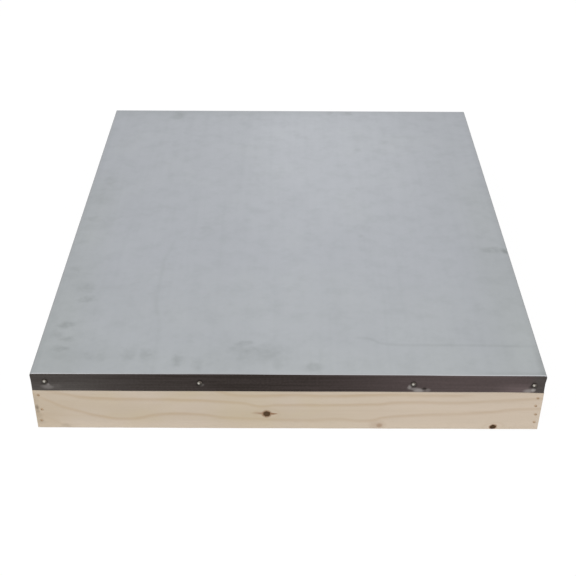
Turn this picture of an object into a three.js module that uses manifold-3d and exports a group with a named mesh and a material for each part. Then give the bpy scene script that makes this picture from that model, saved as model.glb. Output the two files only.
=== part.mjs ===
// A telescoping beehive lid: a pine rim, a thin plywood deck nailed on top of it, and a galvanised sheet that
// is folded down over both and nailed through its skirt. It drops over the top of a hive body.
// Millimetres. +Z is up, -Y is the front, and the origin is under the middle, where the rim stands.
import * as THREE from "three";
import { mergeVertices } from "three/addons/utils/BufferGeometryUtils.js";
import Module from "manifold-3d";

const wasm = await Module();
wasm.setup();

// The hive body that the lid drops over, and the room left on each side of it.
const hiveWidth = 413;
const hiveLength = 508;
const slipClearance = 3;

// Rim: four planed boards. The short ones are rebated at both ends, and the long ones butt into the rebates.
const boardThickness = 19;
const rimHeight = 57;
const tongueThickness = 9.5;
const arrisRadius = 1;
const jointGap = 0.1;

// Deck: one plywood panel that lies on the rim, flush with its outside.
const deckThickness = 5.5;

// Cover: one sheet. Its side skirts end in tabs that fold in behind the front and back skirts.
const sheetThickness = 0.5;
const sheetGap = 0.3;
const lapGap = 0.15;
const skirtHeight = 19;
const tabLength = 24;
const slitWidth = 0.3;
const slitDrop = 0.4;

// Domed nails through the skirt, driven by eye. Each pair says how far along its side a nail is, as a share
// of the rim's width or length from the middle, and how far down the skirt.
const nailShankDiameter = 2;
const nailLength = 18;
const nailTipLength = 3.2;
const nailHeadDiameter = 4.8;
const nailHeadHeight = 1.5;
const frontNailShares = [[-0.4744, 0.474], [-0.172, 0.516], [0.2444, 0.532], [0.4799, 0.579]];
const backNailShares = [[-0.477, 0.53], [-0.14, 0.49], [0.31, 0.55], [0.474, 0.5]];
const leftNailShares = [[-0.455, 0.51], [-0.16, 0.55], [0.15, 0.48], [0.46, 0.52]];
const rightNailShares = [[-0.45, 0.5], [-0.122, 0.47], [0.18, 0.54], [0.457, 0.51]];

// Brads that hold the rim's corners, shot in from the front and back and sunk below the surface. Each pair
// says how far in from the side a brad is, as a share of a board's thickness, and how far up the rim.
const cornerBradDiameter = 1.2;
const cornerBradLength = 30;
const cornerBradHeadDiameter = 1.8;
const cornerBradHeadHeight = 0.8;
const cornerBradSink = 0.8;
const frontLeftBradShares = [[0.205, 0.149], [0.303, 0.377], [0.235, 0.668]];
const frontRightBradShares = [[0.2, 0.163], [0.195, 0.324], [0.253, 0.498], [0.21, 0.653]];
const backLeftBradShares = [[0.26, 0.15], [0.21, 0.32], [0.28, 0.49], [0.23, 0.65]];
const backRightBradShares = [[0.22, 0.16], [0.29, 0.34], [0.21, 0.5], [0.25, 0.66]];

// Brads that hold the deck down on the rim.
const deckBradDiameter = 1.4;
const deckBradLength = 26;
const deckBradHeadDiameter = 2.8;
const deckBradHeadHeight = 0.8;
const deckBradSink = 0.2;
const deckBradShares = [-0.34, 0, 0.34]; // of each side, from its middle

const bradTipLength = 1.6;
const boreClearance = 0.15;
const cutOverrun = 2;

// How finely round forms are faceted.
const arcSegments = 4;
const roundSegments = 12;
const domeRings = 4;

// Sizes worked out from those above.
const rimInnerX = hiveWidth / 2 + slipClearance;
const rimInnerY = hiveLength / 2 + slipClearance;
const rimX = rimInnerX + boardThickness;
const rimY = rimInnerY + boardThickness;
const deckBottom = rimHeight + jointGap;
const deckTop = deckBottom + deckThickness;
const coverTop = deckTop + sheetGap + sheetThickness;
const skirtBottom = coverTop - skirtHeight;
const innerBend = arrisRadius + sheetGap;
const outerBend = innerBend + sheetThickness;
const slitTop = coverTop - outerBend - slitDrop;
const coverX = rimX + sheetGap + sheetThickness;
const tabY = rimY + sheetGap + sheetThickness;
const coverY = tabY + lapGap + sheetThickness;

const pine = new THREE.MeshStandardMaterial({ color: 0xc4b29e, roughness: 0.75, metalness: 0 });
const plywood = new THREE.MeshStandardMaterial({ color: 0xc2a47c, roughness: 0.8, metalness: 0 });
const zincSheet = new THREE.MeshStandardMaterial({ color: 0xafb3b7, roughness: 0.42, metalness: 0.9 });
const nailSteel = new THREE.MeshStandardMaterial({ color: 0xc3c2bc, roughness: 0.35, metalness: 1 });
const bradSteel = new THREE.MeshStandardMaterial({ color: 0x6d675f, roughness: 0.5, metalness: 1 });

// A closed three.js geometry as a solid that can be cut and joined.
function solidOf(geometry) {
  const bare = geometry.clone();
  bare.deleteAttribute("normal");
  bare.deleteAttribute("uv");
  const merged = mergeVertices(bare);
  return new wasm.Manifold(
    new wasm.Mesh({
      numProp: 3,
      vertProperties: merged.attributes.position.array,
      triVerts: new Uint32Array(merged.index.array),
    }),
  );
}

// A solid back as a flat-shaded three.js geometry.
function geometryOf(solid) {
  const mesh = solid.getMesh();
  const indexed = new THREE.BufferGeometry();
  indexed.setAttribute("position", new THREE.BufferAttribute(mesh.vertProperties, mesh.numProp));
  indexed.setIndex(new THREE.BufferAttribute(mesh.triVerts, 1));
  const geometry = indexed.toNonIndexed();
  geometry.computeVertexNormals();
  return geometry;
}

// A named mesh from a solid in the lid's frame, with its own origin at the given place.
function meshAt(name, solid, material, place) {
  const mesh = new THREE.Mesh(geometryOf(solid).translate(-place.x, -place.y, -place.z), material);
  mesh.name = name;
  mesh.position.copy(place);
  return mesh;
}

const inOrder = (a, b) => [Math.min(a, b), Math.max(a, b)];

// A box given by its lowest and highest corner.
function box(x0, y0, z0, x1, y1, z1) {
  const geometry = new THREE.BoxGeometry(x1 - x0, y1 - y0, z1 - z0);
  return solidOf(geometry.translate((x0 + x1) / 2, (y0 + y1) / 2, (z0 + z1) / 2));
}

// A flat shape pushed along an axis, with its middle at the origin of that axis.
function extruded(shape, length) {
  const settings = { depth: length, bevelEnabled: false, curveSegments: arcSegments };
  return new THREE.ExtrudeGeometry(shape, settings).translate(0, 0, -length / 2);
}

const alongY = (shape, length) => extruded(shape, length).rotateX(Math.PI / 2);
const alongX = (shape, length) => alongY(shape, length).rotateZ(Math.PI / 2);

// A rectangle with four rounded corners, about the origin.
function easedRectangle(halfWidth, halfHeight, radius) {
  const shape = new THREE.Shape();
  const cx = halfWidth - radius;
  const cy = halfHeight - radius;
  shape.absarc(cx, cy, radius, 0, Math.PI / 2);
  shape.absarc(-cx, cy, radius, Math.PI / 2, Math.PI);
  shape.absarc(-cx, -cy, radius, Math.PI, 1.5 * Math.PI);
  shape.absarc(cx, -cy, radius, 1.5 * Math.PI, 2 * Math.PI);
  return shape;
}

// The section of something with a flat foot and two rounded top corners.
function loafSection(halfWidth, bottom, top, radius) {
  const shape = new THREE.Shape();
  shape.moveTo(-halfWidth, bottom);
  shape.lineTo(halfWidth, bottom);
  shape.absarc(halfWidth - radius, top - radius, radius, 0, Math.PI / 2);
  shape.absarc(radius - halfWidth, top - radius, radius, Math.PI / 2, Math.PI);
  return shape;
}

// A block whose four top edges are rounded and meet in mitres at its corners.
function roundedBlock(halfX, halfY, bottom, top, radius) {
  const acrossX = solidOf(alongY(loafSection(halfX, bottom, top, radius), 2 * halfY));
  const acrossY = solidOf(alongX(loafSection(halfY, bottom, top, radius), 2 * halfX));
  return acrossX.intersect(acrossY);
}

// Every fastener: its name, its kind, the point where its head seats, and the way its head faces.
const cornerBradY = rimY - cornerBradSink - cornerBradHeadHeight;
const deckBradX = rimX - boardThickness / 2;
const deckBradY = rimY - boardThickness / 2;
const deckBradZ = deckTop - deckBradSink - deckBradHeadHeight;
const fasteners = [];

function addFasteners(kind, name, outward, points) {
  points.forEach((point, i) => {
    fasteners.push({ kind, name: `${name}_${i + 1}`, outward: new THREE.Vector3(...outward), point });
  });
}

function addSkirtNails() {
  const down = (share) => coverTop - share * skirtHeight;
  const across = ([share, drop], y) => new THREE.Vector3(share * 2 * rimX, y, down(drop));
  const along = ([share, drop], x) => new THREE.Vector3(x, share * 2 * rimY, down(drop));
  const front = frontNailShares.map((pair) => across(pair, -coverY));
  const back = backNailShares.map((pair) => across(pair, coverY));
  const left = leftNailShares.map((pair) => along(pair, -coverX));
  const right = rightNailShares.map((pair) => along(pair, coverX));
  addFasteners("nail", "cover_nail_front", [0, -1, 0], front);
  addFasteners("nail", "cover_nail_back", [0, 1, 0], back);
  addFasteners("nail", "cover_nail_left", [-1, 0, 0], left);
  addFasteners("nail", "cover_nail_right", [1, 0, 0], right);
}

function addCornerBrads() {
  const corners = [
    ["front_left", -1, -1, frontLeftBradShares],
    ["front_right", 1, -1, frontRightBradShares],
    ["back_left", -1, 1, backLeftBradShares],
    ["back_right", 1, 1, backRightBradShares],
  ];
  for (const [corner, signX, signY, pairs] of corners) {
    const points = pairs.map(([inset, height]) => {
      const x = signX * (rimX - inset * boardThickness);
      return new THREE.Vector3(x, signY * cornerBradY, height * rimHeight);
    });
    addFasteners("cornerBrad", `corner_brad_${corner}`, [0, signY, 0], points);
  }
}

function addDeckBrads() {
  const at = (x, y) => new THREE.Vector3(x, y, deckBradZ);
  const across = deckBradShares.map((share) => share * 2 * rimX);
  const along = deckBradShares.map((share) => share * 2 * rimY);
  addFasteners("deckBrad", "deck_brad_front", [0, 0, 1], across.map((x) => at(x, -deckBradY)));
  addFasteners("deckBrad", "deck_brad_back", [0, 0, 1], across.map((x) => at(x, deckBradY)));
  addFasteners("deckBrad", "deck_brad_left", [0, 0, 1], along.map((y) => at(-deckBradX, y)));
  addFasteners("deckBrad", "deck_brad_right", [0, 0, 1], along.map((y) => at(deckBradX, y)));
}

addSkirtNails();
addCornerBrads();
addDeckBrads();

// Half sections from the tip to the crown of the head. The head seats at height zero, above the shank.
function nailProfile() {
  const points = [
    new THREE.Vector2(0, -nailLength),
    new THREE.Vector2(nailShankDiameter / 2, nailTipLength - nailLength),
    new THREE.Vector2(nailShankDiameter / 2, 0),
  ];
  for (let i = 0; i <= domeRings; i++) {
    const turn = (i / domeRings) * (Math.PI / 2);
    points.push(new THREE.Vector2(Math.cos(turn) * nailHeadDiameter / 2, Math.sin(turn) * nailHeadHeight));
  }
  points[points.length - 1].x = 0;
  return points;
}

function bradProfile(diameter, length, headDiameter, headHeight) {
  return [
    new THREE.Vector2(0, -length),
    new THREE.Vector2(diameter / 2, bradTipLength - length),
    new THREE.Vector2(diameter / 2, 0),
    new THREE.Vector2(headDiameter / 2, 0),
    new THREE.Vector2(headDiameter / 2, headHeight),
    new THREE.Vector2(0, headHeight),
  ];
}

const cornerBradHead = [cornerBradHeadDiameter, cornerBradHeadHeight];
const deckBradHead = [deckBradHeadDiameter, deckBradHeadHeight];
const kinds = {
  nail: {
    profile: nailProfile(),
    material: nailSteel,
    shank: nailShankDiameter,
    length: nailLength,
  },
  cornerBrad: {
    profile: bradProfile(cornerBradDiameter, cornerBradLength, ...cornerBradHead),
    material: bradSteel,
    shank: cornerBradDiameter,
    length: cornerBradLength,
    sunkHead: cornerBradHeadDiameter,
    headTopDepth: cornerBradSink,
    headHeight: cornerBradHeadHeight,
  },
  deckBrad: {
    profile: bradProfile(deckBradDiameter, deckBradLength, ...deckBradHead),
    material: bradSteel,
    shank: deckBradDiameter,
    length: deckBradLength,
    sunkHead: deckBradHeadDiameter,
    headTopDepth: deckBradSink,
    headHeight: deckBradHeadHeight,
  },
};

const up = new THREE.Vector3(0, 1, 0); // the way that a lathe's axis runs
const turnTo = (outward) => new THREE.Quaternion().setFromUnitVectors(up, outward);

function fastenerMesh({ kind, name, outward, point }) {
  const { profile, material } = kinds[kind];
  const mesh = new THREE.Mesh(new THREE.LatheGeometry(profile, roundSegments), material);
  mesh.name = name;
  mesh.position.copy(point);
  mesh.quaternion.copy(turnTo(outward));
  return mesh;
}

// The hole that a fastener makes: round its shank, and round its sunk head too if it has one.
function boreOf({ kind, outward, point }) {
  const { shank, length, sunkHead, headTopDepth, headHeight } = kinds[kind];
  const turn = turnTo(outward);
  const place = (geometry) => solidOf(geometry.applyQuaternion(turn).translate(...point.toArray()));
  const depth = length + boreClearance;
  const reach = depth + cutOverrun;
  const radius = shank / 2 + boreClearance;
  const hole = new THREE.CylinderGeometry(radius, radius, reach, roundSegments);
  const bore = place(hole.translate(0, reach / 2 - depth, 0));
  if (!sunkHead) return bore;
  const headRadius = sunkHead / 2 + boreClearance;
  const mouthReach = boreClearance + headHeight + headTopDepth + cutOverrun;
  const mouth = new THREE.CylinderGeometry(headRadius, headRadius, mouthReach, roundSegments);
  return bore.add(place(mouth.translate(0, mouthReach / 2 - boreClearance, 0)));
}

function boresOf(...kindNames) {
  const bored = fasteners.filter(({ kind }) => kindNames.includes(kind));
  return bored.map(boreOf).reduce((all, bore) => all.add(bore));
}

const rimBores = boresOf("nail", "cornerBrad", "deckBrad");

// The outline of the rim in plan, with its four corners eased, as a tall block.
const easedOutline = solidOf(extruded(easedRectangle(rimX, rimY, arrisRadius), 4 * rimHeight));

// A short board lies along X at the front or back. A rebate behind each end leaves a tongue that covers the
// end of a long board.
function shortBoard(sign) {
  const middle = sign * (rimY - boardThickness / 2);
  const section = easedRectangle(boardThickness / 2, rimHeight / 2, arrisRadius);
  const plank = solidOf(alongX(section, 2 * rimX).translate(0, middle, rimHeight / 2));
  const tongueBack = sign * (rimY - tongueThickness);
  const boardBack = sign * (rimInnerY - cutOverrun);
  const rebate = (end) => {
    const x = inOrder(end * rimInnerX, end * (rimX + cutOverrun));
    const y = inOrder(tongueBack, boardBack);
    return box(x[0], y[0], -cutOverrun, x[1], y[1], rimHeight + cutOverrun);
  };
  const solid = plank.intersect(easedOutline).subtract(rebate(-1)).subtract(rebate(1)).subtract(rimBores);
  const name = sign < 0 ? "rim_front" : "rim_back";
  return meshAt(name, solid, pine, new THREE.Vector3(0, middle, rimHeight / 2));
}

// A long board lies along Y at one side, between the tongues of the short ones.
function longBoard(sign) {
  const thickness = boardThickness - jointGap;
  const middle = sign * (rimX - thickness / 2);
  const section = easedRectangle(thickness / 2, rimHeight / 2, arrisRadius);
  const length = 2 * (rimY - tongueThickness - jointGap);
  const plank = solidOf(alongY(section, length).translate(middle, 0, rimHeight / 2));
  const name = sign < 0 ? "rim_left" : "rim_right";
  return meshAt(name, plank.subtract(rimBores), pine, new THREE.Vector3(middle, 0, rimHeight / 2));
}

// The field of the panel, over the opening, is joined to the margin that lies on the boards, so that the
// underside that a hive meets is one flat face that ends at the boards.
function deckPanel() {
  const panel = roundedBlock(rimX, rimY, deckBottom, deckTop, arrisRadius).intersect(easedOutline);
  const field = box(-rimInnerX, -rimInnerY, deckBottom, rimInnerX, rimInnerY, deckTop);
  const solid = panel.subtract(field).add(field).subtract(boresOf("deckBrad"));
  return meshAt("deck_panel", solid, plywood, new THREE.Vector3(0, 0, deckBottom));
}

// One side skirt in plan, with the tab at each end that folds in round its corner. This is the one at +X.
function tabbedSkirtPlan() {
  const shape = new THREE.Shape();
  const outerX = coverX - outerBend;
  const outerY = tabY - outerBend;
  const tabEnd = coverX - tabLength;
  const innerY = tabY - sheetThickness;
  shape.moveTo(tabEnd, -tabY);
  shape.absarc(outerX, -outerY, outerBend, -Math.PI / 2, 0);
  shape.absarc(outerX, outerY, outerBend, 0, Math.PI / 2);
  shape.lineTo(tabEnd, tabY);
  shape.lineTo(tabEnd, innerY);
  shape.absarc(outerX, outerY, innerBend, Math.PI / 2, 0, true);
  shape.absarc(outerX, -outerY, innerBend, 0, -Math.PI / 2, true);
  shape.lineTo(tabEnd, -innerY);
  return shape;
}

// The folded sheet: its top with the four bends, the front and back skirts down from it, and the side
// skirts, whose tabs are slit free of the top so that they can fold in behind.
function foldedCover() {
  const innerX = coverX - sheetThickness;
  const innerY = coverY - sheetThickness;
  const outside = roundedBlock(coverX, coverY, slitTop, coverTop, outerBend);
  const inside = roundedBlock(innerX, innerY, slitTop - cutOverrun, coverTop - sheetThickness, innerBend);
  const joinTop = slitTop + slitDrop / 2;
  const tabTop = slitTop - slitWidth;
  const frontSkirt = box(-coverX, -coverY, skirtBottom, coverX, -innerY, joinTop);
  const backSkirt = box(-coverX, innerY, skirtBottom, coverX, coverY, joinTop);
  let cover = outside.subtract(inside).add(frontSkirt).add(backSkirt);
  const skirtMiddle = (tabTop + skirtBottom) / 2;
  const skirt = extruded(tabbedSkirtPlan(), tabTop - skirtBottom).translate(0, 0, skirtMiddle);
  const bendFree = tabY - outerBend;
  for (const sign of [-1, 1]) {
    const side = skirt.clone().rotateZ(sign > 0 ? 0 : Math.PI);
    const x = inOrder(sign * innerX, sign * coverX);
    const web = box(x[0], -bendFree, tabTop - slitWidth, x[1], bendFree, joinTop);
    cover = cover.add(solidOf(side)).add(web);
  }
  const solid = cover.subtract(boresOf("nail"));
  return meshAt("sheet_cover", solid, zincSheet, new THREE.Vector3(0, 0, deckTop));
}

function groupOf(...meshes) {
  const group = new THREE.Group();
  group.add(...meshes);
  return group;
}

const rim = groupOf(shortBoard(-1), shortBoard(1), longBoard(-1), longBoard(1));
const fixings = groupOf(...fasteners.map(fastenerMesh));
const lid = groupOf(rim, deckPanel(), foldedCover(), fixings);

export default lid;
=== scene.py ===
"""The looks of a beehive lid: planed pine, a folded zinc sheet and its nails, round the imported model."""

import math
from functools import partial, reduce
from operator import add, mul

import bmesh
import bpy
from mathutils import Matrix, Vector, noise


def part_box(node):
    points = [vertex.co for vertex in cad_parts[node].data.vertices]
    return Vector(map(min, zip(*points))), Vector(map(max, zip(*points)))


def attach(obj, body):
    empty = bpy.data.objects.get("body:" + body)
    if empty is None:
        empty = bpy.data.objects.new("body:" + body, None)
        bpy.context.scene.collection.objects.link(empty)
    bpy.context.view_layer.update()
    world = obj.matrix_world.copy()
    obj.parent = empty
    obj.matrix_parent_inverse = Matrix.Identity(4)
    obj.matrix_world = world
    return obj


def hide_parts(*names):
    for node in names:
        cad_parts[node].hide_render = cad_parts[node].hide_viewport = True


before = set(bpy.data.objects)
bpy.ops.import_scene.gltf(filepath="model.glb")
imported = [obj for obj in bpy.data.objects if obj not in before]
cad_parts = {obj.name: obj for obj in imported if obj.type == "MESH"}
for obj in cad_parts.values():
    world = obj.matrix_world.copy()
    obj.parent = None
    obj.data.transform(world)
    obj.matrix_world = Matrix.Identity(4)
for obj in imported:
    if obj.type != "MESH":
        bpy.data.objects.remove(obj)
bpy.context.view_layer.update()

# Units: shapes are worked in millimetres and scaled to metres when they are done
MM = 0.001
PER_MM = 1000

# What stretches a noise to run from about -1 to 1
NOISE_GAIN = 1.4

# The photograph's frame, in its own pixels, and where the camera stood, in millimetres and degrees
IMAGE_SIZE = 576
FOCAL_PIXELS = 1074.08
AXIS_ROW_PIXELS = 262
SENSOR_WIDTH = 36
CAMERA_PLACE = (2.08, -1023.39, 660.23)
CAMERA_YAW = -0.1915
CAMERA_PITCH = 32.6668
CAMERA_ROLL = 0.1687

# The lid's sides: the way out of each, and the number of the axis that it runs along
SIDES = {"front": (0, -1), "back": (0, 1), "left": (-1, 0), "right": (1, 0)}
ALONG = {"front": 0, "back": 0, "left": 1, "right": 1}
NAILS_PER_SIDE = 4


def box_mm(node):
    """A node's lowest and highest corners, in millimetres."""
    low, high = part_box(node)
    return low * PER_MM, high * PER_MM


def middle_of(node):
    """The middle of a node's box, in millimetres."""
    low, high = box_mm(node)
    return (low + high) / 2


def brads_of(side):
    """The names of the brads driven through one end board."""
    return [node for node in sorted(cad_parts) if node.startswith(f"corner_brad_{side}_")]


def nail_centre(side, number):
    """The middle of a cover nail's head, along its side and up, in millimetres."""
    middle = middle_of(f"cover_nail_{side}_{number}")
    return middle[ALONG[side]], middle.z


def on_side(side, along, outward, height):
    """A place by how far it lies along a side, out from the lid's middle, and up."""
    place = Vector((*SIDES[side], 0)) * outward
    place[ALONG[side]] = along
    place.z = height
    return place


NAIL_PLACES = {side: [nail_centre(side, number) for number in range(1, NAILS_PER_SIDE + 1)] for side in SIDES}
COVER_LOW, COVER_HIGH = box_mm("sheet_cover")
RIM_LOW, RIM_HIGH = box_mm("rim_front")
COVER_X, COVER_Y, COVER_TOP = COVER_HIGH
SKIRTS = {side: COVER_HIGH[1 - ALONG[side]] for side in SIDES}
SKIRT_BOTTOM = COVER_LOW.z
RIM_X = RIM_HIGH.x
RIM_Y = -RIM_LOW.y

# Sheet: how far it strays from flat
BEND_RADIUS = 1.8
BEND_END = COVER_TOP - BEND_RADIUS
SHEET_STEP = 9
SKIRT_STEP = 2.9
SAG = 0.24
SAG_EDGE = 14
SAG_WAVES = ((110, 0.32, 3), (42, 0.18, 9))
TOP_REACH = 0.8
BEND_MARGIN = 0.5
BULGE = 0.36
BULGE_SIZE = 75
BULGE_RISE = 8
BULGE_FADE = 14
CORNER_PULL_LEFT = 0.35
CORNER_PULL_RIGHT = 0.75
CORNER_REACH = 3
TAB_START = 276.05
HEM_WAVE = 0.25
HEM_SIZE = 90

# The crease and the dent pressed into the top: where they lie, how the crease turns, how deep and how wide
CREASE_X, CREASE_Y, CREASE_TURN = 99, -232, 0.05
CREASE_START, CREASE_FADE = 40, 60
DENT_X, DENT_Y, DENT_FADE = 224, -66, 3
CREASE_DEPTH, DENT_DEPTH = 0.5, 0.8
PRESSED_RADIUS = 5

# Nails: the seat that each one presses into the sheet
NAIL_SEAT = 2.7
DIMPLE_REACH = 7
DIMPLE_DEPTH = 0.24
DIMPLE_STEP = 0.7
DIMPLE_MARGIN = 1
DIMPLE_WALL = 2
NAIL_RADIUS = 2.4
NAIL_RISE = 1.5
SHANK_RADIUS = 1
NAIL_LENGTH = 18
NAIL_TIP = 3.2
NAIL_SIDES = 36
CROWN_START = 0.42

# Boards: how far the planed faces and the handled arrises stray
BOARD_STEP = 8
BOARD_WAVE = 0.10
WAVE_SIZE = 46
WAVE_FADE = 6
ARRIS_RADIUS = 1
ARRIS_KEPT = 0.45
ARRIS_REACH = 1.6
ARRIS_WEAR = 0.10
WEAR_SIZE = 19
SWELL_START = 0.3
SWELL_RISE = 1.2
LEDGE = SKIRT_BOTTOM + SWELL_START
FOOT_REACH = 9
FOOT_FADE_START = 19
FOOT_FADE = 80

# How far each outer face stands out from its drawn place, just below the sheet and at the foot
SWELLS = {"front": (1, 1), "back": (0.6, 0.6), "left": (0.9, 0.6), "right": (0.65, -0.25)}

# What sets each side's waves apart from the others'
WAVE_SEEDS = {"front": 25, "back": 20, "left": 20, "right": 25}

# Brads: heads set just below the face of the wood
BRAD_SINK = 0.3
BRAD_RADIUS = 0.9
BRAD_HEAD = 0.8
BRAD_SHANK = 0.6
BRAD_LENGTH = 30
BRAD_TIP = 1.6
BRAD_SIDES = 20

# The dents in a pin's head: how wide, then from what height up and how deep
DENT_SIZE = 1.3
NAIL_DENTS = (0.4, 0.05)
BRAD_DENTS = (-0.1, 0.03)

# The front skirt's lower edge: how much it lies above its drawn line, by place along the lid
HEM_POINTS = ((-229, 0.1), (-133, 0), (-39, 0.2), (95, 0.45), (189, 0.8), (214, 0.35), (229, -0.45))

# The rim's foot along the front: how far it lies above the floor, by place along the lid
FOOT_POINTS = ((-229, 0.05), (-60, 0.2), (60, 0.5), (229, 0.9))


def colour(red, green, blue):
    """A colour written as it looks on a screen, 0 to 255, as the linear values that shaders take."""
    def linear(value):
        share = value / 255
        return share / 12.92 if share <= 0.04045 else ((share + 0.055) / 1.055) ** 2.4
    return (linear(red), linear(green), linear(blue), 1)


def smooth(value):
    """A soft step from 0 to 1 as value goes from 0 to 1."""
    share = min(1, max(0, value))
    return share * share * (3 - 2 * share)


def wander(size, *place):
    """A smooth value between about -1 and 1 that changes over about size millimetres."""
    padded = (*place, 0, 0)[:3]
    return NOISE_GAIN * noise.noise(Vector(padded) / size)


def between(points, at):
    """The value at a place along a line through points."""
    for (start, low), (end, high) in zip(points, points[1:]):
        if at <= end:
            return low + (high - low) * max(0, at - start) / (end - start)
    return points[-1][1]


def new_object(name, data):
    """A new object in the scene, which shows a mesh, a lamp or a camera."""
    made = bpy.data.objects.new(name, data)
    bpy.context.scene.collection.objects.link(made)
    return made


# Camera

def make_camera():
    """The photograph's camera: its focal length, and the small shift of its crop."""
    yaw, pitch, roll = (math.radians(a) for a in (CAMERA_YAW, CAMERA_PITCH, CAMERA_ROLL))
    aim = Matrix.Rotation(-yaw, 4, "Z") @ Matrix.Rotation(math.pi / 2 - pitch, 4, "X")
    data = bpy.data.cameras.new("camera")
    data.sensor_width = SENSOR_WIDTH
    data.lens = SENSOR_WIDTH * FOCAL_PIXELS / IMAGE_SIZE
    data.shift_y = (AXIS_ROW_PIXELS - IMAGE_SIZE / 2) / IMAGE_SIZE
    camera = new_object("camera", data)
    stand = Matrix.Translation(Vector(CAMERA_PLACE) * MM)
    camera.matrix_world = stand @ aim @ Matrix.Rotation(roll, 4, "Z")
    bpy.context.scene.camera = camera


# Material nodes

# The sockets of a Mix node that take its share and its two colours
MIX_SOCKETS = (0, 6, 7)


class Value:
    """A number that a material works out at each place. Its sums and products are written as such."""

    def __init__(self, graph, socket):
        self.graph = graph
        self.socket = socket

    def __add__(self, other):
        return self.graph.math("ADD", self, other)

    def __sub__(self, other):
        return self.graph.math("SUBTRACT", self, other)

    def __rsub__(self, other):
        return self.graph.math("SUBTRACT", other, self)

    def __mul__(self, other):
        return self.graph.math("MULTIPLY", self, other)

    def __truediv__(self, other):
        return self.graph.math("DIVIDE", self, other)

    def __abs__(self):
        return self.graph.math("ABSOLUTE", self)

    __radd__ = __add__
    __rmul__ = __mul__

    def step(self, start, end, low=0, high=1):
        """A soft step from low to high as the number goes from start to end."""
        ramp = self.graph.node("MapRange", self, start, end, low, high)
        ramp.interpolation_type = "SMOOTHSTEP"
        return Value(self.graph, ramp.outputs[0])

    def swing(self, reach):
        """A cloudy number about 0.5, stretched to run from about -reach to reach."""
        return self.graph.math("MULTIPLY_ADD", self, 2 * reach, -reach)

    def near(self, level, soft, sharp):
        """1 where the number is within sharp of a level, and 0 where it is more than soft from it."""
        return abs(self - level).step(soft, sharp)

    def rings(self, spacing, start, full, end):
        """Lines a spacing apart: each grows slowly from start to full and stops sharply after end."""
        share = self.graph.math("FRACT", self / spacing)
        return share.step(start, full) * share.step(1, end)

    def curve(self, points):
        """A smooth line through points, each a place and the level there."""
        start, end = points[0][0], points[-1][0]
        floor = min(level for at, level in points)
        rise = max(level for at, level in points) - floor
        made = self.graph.node("FloatCurve", 1, (self - start) / (end - start))
        line = made.mapping.curves[0]
        places = [((at - start) / (end - start), (level - floor) / rise) for at, level in points]
        line.points[0].location = places[0]
        line.points[1].location = places[-1]
        for at, level in places[1:-1]:
            line.points.new(at, level)
        made.mapping.update()
        return self.graph.math("MULTIPLY_ADD", made.outputs[0], rise, floor)


class Graph:
    """The nodes of a material or of the world. Each call adds nodes and gives back what holds the result."""

    def __init__(self, owner):
        owner.use_nodes = True
        self.tree = owner.node_tree
        self.tree.nodes.clear()

    def node(self, kind, *inputs, **settings):
        """A new shader node, whose inputs are fed in their own order."""
        made = self.tree.nodes.new("ShaderNode" + kind)
        for key, value in settings.items():
            setattr(made, key, value)
        for socket, value in zip(made.inputs, inputs):
            self.feed(socket, value)
        return made

    def feed(self, socket, value):
        """Links what another node gives to a socket, or sets the socket to a constant."""
        if isinstance(value, Value):
            value = value.socket
        if isinstance(value, bpy.types.NodeSocket):
            self.tree.links.new(value, socket)
        elif value is not None:
            socket.default_value = value

    def math(self, operation, *values):
        return Value(self, self.node("Math", *values, operation=operation).outputs[0])

    def most(self, *values):
        return reduce(partial(self.math, "MAXIMUM"), values)

    def seen(self):
        """1 for camera, mirror and glass rays, and 0 for the rays that light the object."""
        rays = self.node("LightPath").outputs
        return self.most(rays["Is Camera Ray"], rays["Is Glossy Ray"], rays["Is Transmission Ray"])


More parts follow.
